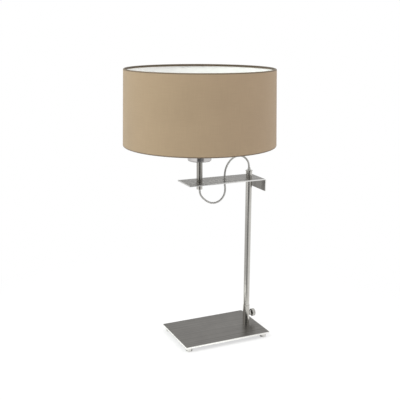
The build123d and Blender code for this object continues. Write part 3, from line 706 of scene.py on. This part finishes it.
@dataclass
class ArmStrip:
    """The arm: one brushed strip, folded down at its outer end, with a painted highlight on its sides and
    ends.
    """

    length: float = 214.5
    width: float = 76.0
    thickness: float = 3.0
    drop: float = 32.5
    overhang: float = 30.0
    bend: float = 1.8
    bend_steps: int = 6
    edge: float = 0.35

    def outline(self) -> list[Vector]:
        """The strip's profile on its far side, with the fold's inside and outside as arcs."""
        right = POST_REACH + self.overhang
        left = right - self.length
        lower = ARM_TOP - self.drop
        inside, under = right - self.thickness, ARM_TOP - self.thickness
        turns = [math.radians(90 * step / self.bend_steps) for step in range(self.bend_steps + 1)]

        def arc(radius: float, order: Iterable[float]) -> list[Point]:
            """The points of an arc about the fold's centre."""
            centre_x, centre_z = inside - self.bend, under - self.bend
            return [(centre_x + radius * math.cos(a), centre_z + radius * math.sin(a)) for a in order]

        profile = [(left, under), (left, ARM_TOP), *arc(self.bend + self.thickness, reversed(turns)),
                   (right, lower), (inside, lower), *arc(self.bend, turns)]
        return [Vector((x, self.width / 2, z)) for x, z in profile]

    def build(self, shop: Workshop) -> None:
        """Makes the strip."""
        shape = softened(raised(self.outline(), Vector((0, -self.width, 0))), self.edge)
        bordered(shape, self.edge)
        left = (POST_REACH + self.overhang - self.length + self.edge) * MM
        lower = (ARM_TOP - self.drop + self.edge) * MM
        for face in shape.faces:
            middle = face.calc_center_median()
            # painted highlight: the sides, the left end and the folded end take the near-white second finish
            face.material_index = int(abs(face.normal.y) > SIDEWAYS or middle.x < left or middle.z < lower)
        strip = shop.piece("arm_strip", shape, BRUSHED_ARM, instead_of=["arm_plate"], second=EDGE_HIGHLIGHT)


@dataclass
class LampThread:
    """The screw thread inside the lampholder's skirt, as one ridge that winds up its bore.

    The crest's ends and the foot's end are shares of the pitch.
    """

    bore: float = 13.4
    ridge: float = 0.85
    pitch: float = 3.62
    crest_start: float = 0.32
    crest_end: float = 0.5
    foot_end: float = 0.82
    top: float = CAP_TOP + 30.2
    bottom: float = CAP_TOP + 9.6
    steps: int = 48

    def build(self, shop: Workshop) -> None:
        """Makes the ridge."""
        turns = (self.top - self.bottom) / self.pitch - 1.0
        steps = round(turns * self.steps)
        crest = self.bore - self.ridge
        profile = [(self.bore, 0.0), (crest, self.pitch * self.crest_start),
                   (crest, self.pitch * self.crest_end), (self.bore, self.pitch * self.foot_end)]
        shape = bmesh.new()
        points = [shape.verts.new((radius * MM, 0.0, (self.bottom + z) * MM)) for radius, z in profile]
        face = shape.faces.new(points)
        climb = self.pitch / self.steps * MM
        bmesh.ops.spin(shape, geom=[face], cent=(0, 0, 0), axis=(0, 0, 1), dvec=(0, 0, climb),
                       angle=2 * math.pi * steps / self.steps, steps=steps, use_merge=False,
                       use_duplicate=False)
        bmesh.ops.holes_fill(shape, edges=shape.edges, sides=len(profile))
        bmesh.ops.recalc_face_normals(shape, faces=shape.faces)
        thread = shop.piece("lamp_thread", shape, WHITE_PLASTIC)


@dataclass
class Flex:
    """The grey flex: up the post, over, down through the arm and up the stem.

    The route's points are the distance from the post's axis towards the lampholder, then the height
    above the arm's top.
    """

    diameter: float = 4.8
    length: float = 756.0
    start: float = -369.5
    below_cap: float = 12.0
    steps: int = 12
    round_steps: int = 6

    def route(self) -> list[Point]:
        """The points that the flex follows."""
        return [
            (0.0, self.start), (0.0, 5.0), (0.0, 34.0), (7.5, 48.0), (20.5, 57.5), (37.5, 58.5),
            (53.0, 50.5), (64.0, 37.0), (69.8, 21.0), (POST_REACH / 2, 5.0), (POST_REACH / 2, -11.0),
            (68.0, -27.0), (71.5, -43.0), (82.0, -55.0), (97.5, -60.5), (113.5, -57.5), (127.5, -48.0),
            (138.5, -35.5), (POST_REACH, -21.5), (POST_REACH, 8.0),
            (POST_REACH, CAP_TOP - self.below_cap - ARM_TOP),
        ]

    def build(self, shop: Workshop) -> None:
        """Makes the flex as one smooth curve."""
        data = bpy.data.curves.new("flex_cord", "CURVE")
        data.dimensions = "3D"
        data.bevel_depth = self.diameter / 2 * MM
        data.bevel_resolution = self.round_steps
        data.use_fill_caps = True
        line = data.splines.new("NURBS")
        route = self.route()
        line.points.add(len(route) - 1)
        for point, (along, up) in zip(line.points, route):
            point.co = ((POST_REACH - along) * MM, 0.0, (ARM_TOP + up) * MM, 1.0)
        line.order_u = 3
        line.use_endpoint_u = True
        line.resolution_u = self.steps
        cord = bpy.data.objects.new("flex_cord", data)
        bpy.context.collection.objects.link(cord)
        shop.register(cord, FLEX_GREY, ["flex"])


@dataclass
class Shade:
    """The drum: cloth wrapped round two wires and turned in, on a stiff white lining.

    The cloth goes round each wire by turn_in degrees. Its colour is darkest where it is turned in, as
    painted shade, and darker by edge_share of that within rolled_edge of its rims. A row of points,
    edge_row past each wire's middle, ends that dark line sharply.
    """

    bottom: float = BASE_TOP + 499.5
    height: float = 187.4
    lower_radius: float = 190.0
    upper_radius: float = 185.5
    cloth: float = 0.6
    lining: float = 0.4
    wire: float = 3.6
    slack: float = 0.05
    hem: float = 0.6
    hem_gap: float = 0.1
    turn_in: float = 220.0
    turn_steps: int = 8
    rolled_edge: float = 2.8
    edge_row: float = 0.9
    edge_share: float = 0.75
    steps: int = 224
    rows: int = 24
    seam_at: float = math.radians(62.0)
    seam_width: float = 9.0
    seam_steps: int = 6
    seam_share: float = 0.6

    def inset(self) -> float:
        """The distance from a wire's axis to the cloth's outside."""
        return self.cloth + self.slack + self.wire / 2

    def radius_at(self, height: float) -> float:
        """The radius of the cloth's outside at a height."""
        low = self.bottom + self.inset()
        high = self.bottom + self.height - self.inset()
        share = (height - low) / (high - low)
        return self.lower_radius + (self.upper_radius - self.lower_radius) * share

    def rolled(self, radius: float, height: float, first: float, last: float) -> list[Point]:
        """Points of the cloth's middle, round a wire, from one angle to another in degrees."""
        middle = self.inset() - self.cloth / 2
        steps = self.turn_steps
        turn = [math.radians(first + (last - first) * i / steps) for i in range(steps + 1)]
        return [(radius + middle * math.cos(a), height + middle * math.sin(a)) for a in turn]

    def cloth_line(self) -> list[Point]:
        """The middle of the cloth, from the lower hem's end round to the upper hem's end."""
        low = self.bottom + self.inset()
        high = self.bottom + self.height - self.inset()
        tail = self.cloth * 1.5 + self.lining + self.hem_gap
        points = [(self.radius_at(low) - tail, low + self.inset() + self.hem)]
        points += self.rolled(self.lower_radius - self.inset(), low, -self.turn_in, 0)
        heights = [low + (high - low) * i / self.rows for i in range(1, self.rows)]
        for height in (low + self.edge_row, *heights, high - self.edge_row):
            points.append((self.radius_at(height) - self.cloth / 2, height))
        points += self.rolled(self.upper_radius - self.inset(), high, 0, self.turn_in)
        points.append((self.radius_at(high) - tail, high - self.inset() - self.hem))
        return points

    def unroll(self, shape: bmesh.types.BMesh) -> None:
        """Lays the mesh out flat in a UV map, in metres."""
        layer = shape.loops.layers.uv.new("flat")
        for face in shape.faces:
            middle = face.calc_center_median()
            centre = math.atan2(middle.y, middle.x)
            for loop in face.loops:
                place = loop.vert.co
                angle = math.atan2(place.y, place.x)
                angle += 2 * math.pi * round((centre - angle) / (2 * math.pi))
                loop[layer].uv = (angle * self.lower_radius * MM, place.z)

    def mark_painted_shade_and_rims(self, shape: bmesh.types.BMesh) -> None:
        """Marks the turned-in cloth with the attribute "rolled" for painted shade, and faintly the rims for
        a darker line.
        """
        layer = shape.verts.layers.float.new("rolled")
        top = self.bottom + self.height
        for vert in shape.verts:
            height = vert.co.z / MM
            radius = math.hypot(vert.co.x, vert.co.y) / MM
            edge = min(height - self.bottom, top - height) < self.rolled_edge
            turned_in = radius < self.radius_at(height) - self.inset()
            # painted shade on the turned-in cloth; a lesser darkening along the rims
            vert[layer] = 1.0 if turned_in else self.edge_share * edge

    def cover(self) -> bmesh.types.BMesh:
        """The cloth, with its thickness."""
        shape = turned(self.cloth_line(), self.steps, loop=False)
        outward = [face for face in shape.faces if abs(face.normal.z) < UPRIGHT]
        if sum(face.normal.dot(face.calc_center_median().normalized()) for face in outward) < 0:
            bmesh.ops.reverse_faces(shape, faces=shape.faces)
        for vert in shape.verts:
            vert.co += vert.normal * self.cloth / 2 * MM
        bmesh.ops.solidify(shape, geom=shape.faces, thickness=self.cloth * MM)
        bmesh.ops.recalc_face_normals(shape, faces=shape.faces)
        self.unroll(shape)
        self.mark_painted_shade_and_rims(shape)
        return shape

    def liner(self) -> bmesh.types.BMesh:
        """The stiff lining inside the cloth."""
        low = self.bottom + 2 * self.inset()
        high = self.bottom + self.height - 2 * self.inset()
        outer = [(self.radius_at(z) - self.cloth - self.slack, z) for z in (low, (low + high) / 2, high)]
        inner = [(radius - self.lining, z) for radius, z in reversed(outer)]
        shape = turned(outer + inner, self.steps)
        self.unroll(shape)
        return shape

    def seam(self) -> bmesh.types.BMesh:
        """The lap where the cloth's ends meet, on the side away from the light."""
        low = self.bottom + self.inset()
        high = self.bottom + self.height - self.inset()
        shape = bmesh.new()
        line = [shape.verts.new((self.radius_at(z) * MM, 0.0, z * MM)) for z in
                (low + (high - low) * i / self.rows for i in range(self.rows + 1))]
        edges = [shape.edges.new(pair) for pair in zip(line, line[1:])]
        bmesh.ops.spin(shape, geom=line + edges, cent=(0, 0, 0), axis=(0, 0, 1), dvec=(0, 0, 0),
                       angle=self.seam_width / self.lower_radius, steps=self.seam_steps, use_merge=False,
                       use_duplicate=False)
        turn = Matrix.Rotation(self.seam_at, 3, "Z")
        bmesh.ops.rotate(shape, verts=shape.verts, cent=(0, 0, 0), matrix=turn)
        bmesh.ops.recalc_face_normals(shape, faces=shape.faces)
        if shape.faces[:][0].normal.dot(shape.faces[:][0].calc_center_median()) < 0:
            bmesh.ops.reverse_faces(shape, faces=shape.faces)
        bmesh.ops.solidify(shape, geom=shape.faces, thickness=-self.cloth * self.seam_share * MM)
        bmesh.ops.recalc_face_normals(shape, faces=shape.faces)
        self.unroll(shape)
        return shape

    def build(self, shop: Workshop) -> None:
        """Makes the cloth, its seam and the lining."""
        cover = shop.piece("shade_cloth", self.cover(), SHADE_CLOTH, instead_of=["shade_cover"])
        seam = shop.piece("shade_seam", self.seam(), SHADE_CLOTH)
        liner = shop.piece("shade_liner", self.liner(), SHADE_LINER, instead_of=["shade_lining"])


# The studio


def mixed(tree: Tree, share: Socket, first: Socket, second: Socket) -> Socket:
    """Mixes two shaders.

    Args:
        tree: The tree.
        share: The second shader's share.
        first: The first shader.
        second: The second shader.

    Returns:
        The socket with the mixed shader.
    """
    return add_node(tree, "ShaderNodeMixShader", {"Fac": share, 1: first, 2: second}).outputs[0]


@dataclass(frozen=True)
class SoftLight:
    """A square soft light that faces the lamp, and that its metal doesn't mirror.

    azimuth is the light's bearing from the lamp, in degrees from the way to the camera, left positive.
    Its height, its distance from the lamp and its side are in metres, and its power in watts.
    """

    name: str
    azimuth: float
    height: float
    away: float
    side: float
    power: float
    tint: Colour = (1.0, 1.0, 1.0)

    def build(self, yaw: float) -> None:
        """Places the light.

        Args:
            yaw: The camera's yaw, in degrees.
        """
        data = bpy.data.lights.new(self.name, "AREA")
        data.shape = "SQUARE"
        data.size = self.side
        data.energy = self.power
        data.color = self.tint
        light = bpy.data.objects.new(self.name, data)
        bearing = math.radians(yaw + self.azimuth)
        place = Vector((-math.sin(bearing) * self.away, -math.cos(bearing) * self.away, self.height))
        light.location = place
        light.visible_glossy = False
        light.rotation_euler = (Vector(LIT_POINT) - place).to_track_quat("-Z", "Y").to_euler()
        bpy.context.collection.objects.link(light)


@dataclass(frozen=True)
class Fade:
    """How the floor gives way to a plain light for one kind of ray.

    It does so from a near to a far distance from the lamp, in metres, and low is the light's share at
    the lamp itself.
    """

    ray: str
    near: float
    far: float
    low: float = 0.0


@dataclass
class Studio:
    """The camera, the pale floor, the soft lights and the surroundings.

    The levels say how light the room is at each bearing in degrees, from the way to the camera and
    positive to the picture's right: near is the floor round the lamp, and far the rest.
    """

    camera_at: tuple[float, float, float] = (-727.5, -1594.1, 806.8)
    yaw: float = 24.578
    pitch: float = 13.884
    roll: float = 0.232
    focal_pixels: float = 712.4
    picture_pixels: float = 400.0
    sensor: float = 36.0
    view_distance: float = 50.0
    lights: tuple[SoftLight, ...] = (
        SoftLight("left_light", azimuth=56.0, height=2.2, away=1.8, side=1.4, power=51.0,
                  tint=(0.955, 1.0, 0.945)),
        SoftLight("right_light", azimuth=-72.0, height=2.1, away=1.9, side=1.3, power=27.0,
                  tint=(1.0, 0.965, 0.955)),
        SoftLight("top_light", azimuth=170.0, height=2.3, away=1.9, side=1.8, power=12.0),
    )
    fill: float = 0.62
    floor_radius: float = 12.0
    floor_sides: int = 96
    floor_level: float = 0.93
    floor_roughness: float = 0.9
    floor_specular: float = 0.1
    floor_seen: Fade = Fade("Is Camera Ray", near=0.25, far=0.75, low=0.65)
    floor_mirrored: Fade = Fade("Is Glossy Ray", near=0.1, far=0.3)
    near_room: float = 1.2
    far_room: float = 1.8
    near_levels: tuple[Point, ...] = (
        (-180.0, 0.80), (-106.0, 0.66), (-60.0, 0.60), (-24.0, 0.58), (-16.0, 0.16), (4.0, 0.16),
        (12.0, 0.50), (40.0, 0.80), (60.0, 0.95), (120.0, 0.95), (180.0, 0.80),
    )
    far_levels: tuple[Point, ...] = (
        (-180.0, 0.80), (-110.0, 0.74), (-64.0, 0.96), (-30.0, 1.0), (-22.0, 0.12), (4.0, 0.11),
        (10.0, 0.20), (34.0, 0.24), (42.0, 0.80), (86.0, 0.84), (180.0, 0.80),
    )

    def camera(self) -> None:
        """Puts the camera where the photograph was taken from."""
        yaw, pitch, roll = (math.radians(a) for a in (self.yaw, self.pitch, self.roll))
        ahead = Vector((math.sin(yaw) * math.cos(pitch), math.cos(yaw) * math.cos(pitch), -math.sin(pitch)))
        level = Vector((math.cos(yaw), -math.sin(yaw), 0.0))
        above = level.cross(ahead)
        right = level * math.cos(roll) + above * math.sin(roll)
        up = above * math.cos(roll) - level * math.sin(roll)
        data = bpy.data.cameras.new("camera")
        data.sensor_width = self.sensor
        data.lens = self.focal_pixels / self.picture_pixels * self.sensor
        data.clip_end = self.view_distance
        camera = bpy.data.objects.new("camera", data)
        turn = Matrix((right, up, -ahead)).transposed()
        camera.matrix_world = Matrix.Translation(Vector(self.camera_at) * MM) @ turn.to_4x4()
        bpy.context.collection.objects.link(camera)
        bpy.context.scene.camera = camera

    def by_bearing(self) -> Tree:
        """A colour for each bearing from the lamp: what polished metal mirrors of the room round it."""
        inputs, outputs = [("Vector", "NodeSocketVector", None)], [("Colour", "NodeSocketColor")]
        tree, start, end = new_group("room_by_bearing", inputs, outputs)
        where = start.outputs["Vector"]
        yaw = math.radians(self.yaw)
        to_right = (math.cos(yaw), -math.sin(yaw), 0.0)
        to_camera = (-math.sin(yaw), -math.cos(yaw), 0.0)
        shares = []
        for way in (to_right, to_camera):
            share = add_node(tree, "ShaderNodeVectorMath", {0: where, 1: way}, operation="DOT_PRODUCT")
            shares.append(share.outputs["Value"])
        angle = calculated(tree, "ARCTAN2", *shares)
        feeds = {"Value": angle, "From Min": -math.pi, "From Max": math.pi}
        turn = add_node(tree, "ShaderNodeMapRange", feeds)
        fade = faded(tree, length_of(tree, where), self.near_room, self.far_room)
        blend = add_node(tree, "ShaderNodeMix", {"Factor": fade}, data_type="RGBA")
        for socket, levels in (("A", self.near_levels), ("B", self.far_levels)):
            ramp = add_node(tree, "ShaderNodeValToRGB", {"Fac": turn.outputs["Result"]})
            stops = ramp.color_ramp.elements
            for stop, (bearing, level) in zip(stops, (levels[0], levels[-1])):
                stop.position, stop.color = (bearing + 180) / 360, grey(level)
            for bearing, level in levels[1:-1]:
                stops.new((bearing + 180) / 360).color = grey(level)
            feed(tree, blend, {socket: ramp.outputs["Color"]})
        feed(tree, end, {"Colour": blend.outputs["Result"]})
        return tree

    def surroundings(self, room: Tree) -> None:
        """White to the camera, a plain light to the lamp, and the room's levels in its metal."""
        world = bpy.data.worlds.new("studio")
        bpy.context.scene.world = world
        world.use_nodes = True
        tree = world.node_tree
        tree.nodes.clear()
        path = add_node(tree, "ShaderNodeLightPath").outputs
        where = add_node(tree, "ShaderNodeTexCoord").outputs["Generated"]
        feeds = {0: where, "Scale": 2 * self.far_room}
        outwards = add_node(tree, "ShaderNodeVectorMath", feeds, operation="SCALE")
        levels = place_group(tree, room, {"Vector": outwards.outputs["Vector"]})
        white = grey(1.0)
        seen, lit, mirrored = (
            add_node(tree, "ShaderNodeBackground", {"Color": colour, "Strength": strength}).outputs[0]
            for colour, strength in ((white, 1.0), (white, self.fill), (levels.outputs["Colour"], 1.0))
        )
        indirect = mixed(tree, path["Is Glossy Ray"], lit, mirrored)
        direct = calculated(tree, "MAXIMUM", path["Is Camera Ray"], path["Is Transmission Ray"])
        add_node(tree, "ShaderNodeOutputWorld", {"Surface": mixed(tree, direct, indirect, seen)})

    def floor(self, room: Tree) -> None:
        """Lays a plain pale floor, seen from above only, with a soft shadow and a white far part."""
        shape = bmesh.new()
        bmesh.ops.create_circle(shape, cap_ends=True, segments=self.floor_sides, radius=self.floor_radius)
        mesh = bpy.data.meshes.new("floor")
        shape.to_mesh(mesh)
        shape.free()
        floor = bpy.data.objects.new("floor", mesh)
        bpy.context.collection.objects.link(floor)
        material = new_material("pale_floor")
        tree, shader = material.node_tree, shader_of(material)
        feed(tree, shader, {
            "Base Color": grey(self.floor_level),
            "Roughness": self.floor_roughness,
            "Specular IOR Level": self.floor_specular,
        })
        path = add_node(tree, "ShaderNodeLightPath").outputs
        where = object_vector(tree)
        distance = length_of(tree, where)
        feeds = {0: where, 1: (POST_REACH * MM, 0.0, 0.0)}
        from_post = add_node(tree, "ShaderNodeVectorMath", feeds, operation="SUBTRACT")
        levels = place_group(tree, room, {"Vector": from_post.outputs["Vector"]})
        white = add_node(tree, "ShaderNodeEmission")
        mirrored = add_node(tree, "ShaderNodeEmission", {"Color": levels.outputs["Colour"]})
        look = shader.outputs[0]
        for fade, light in ((self.floor_seen, white), (self.floor_mirrored, mirrored)):
            share = faded(tree, distance, fade.near, fade.far, fade.low)
            look = mixed(tree, calculated(tree, "MULTIPLY", share, path[fade.ray]), look, light.outputs[0])
        clear = add_node(tree, "ShaderNodeBsdfTransparent").outputs[0]
        below = add_node(tree, "ShaderNodeNewGeometry").outputs["Backfacing"]
        feed(tree, tree.nodes["Material Output"], {"Surface": mixed(tree, below, look, clear)})
        mesh.materials.append(material)

    def build(self) -> None:
        """Makes the whole studio."""
        bpy.context.scene.view_settings.view_transform = "Standard"
        self.camera()
        for light in self.lights:
            light.build(self.yaw)
        room = self.by_bearing()
        self.surroundings(room)
        self.floor(room)


def main() -> None:
    """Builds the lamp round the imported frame."""
    logging.basicConfig(level=logging.INFO, format="%(message)s")
    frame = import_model()
    shop = Workshop(Paintbox(), frame["nodes"])
    Studio().build()
    Flex().build(shop)
    shop.dress_nodes()
    BasePlate().build(shop)
    ArmStrip().build(shop)
    LampThread().build(shop)
    Shade().build(shop)
    LOG.info("%d pieces made", len(shop.made))


if __name__ == "__main__":
    main()
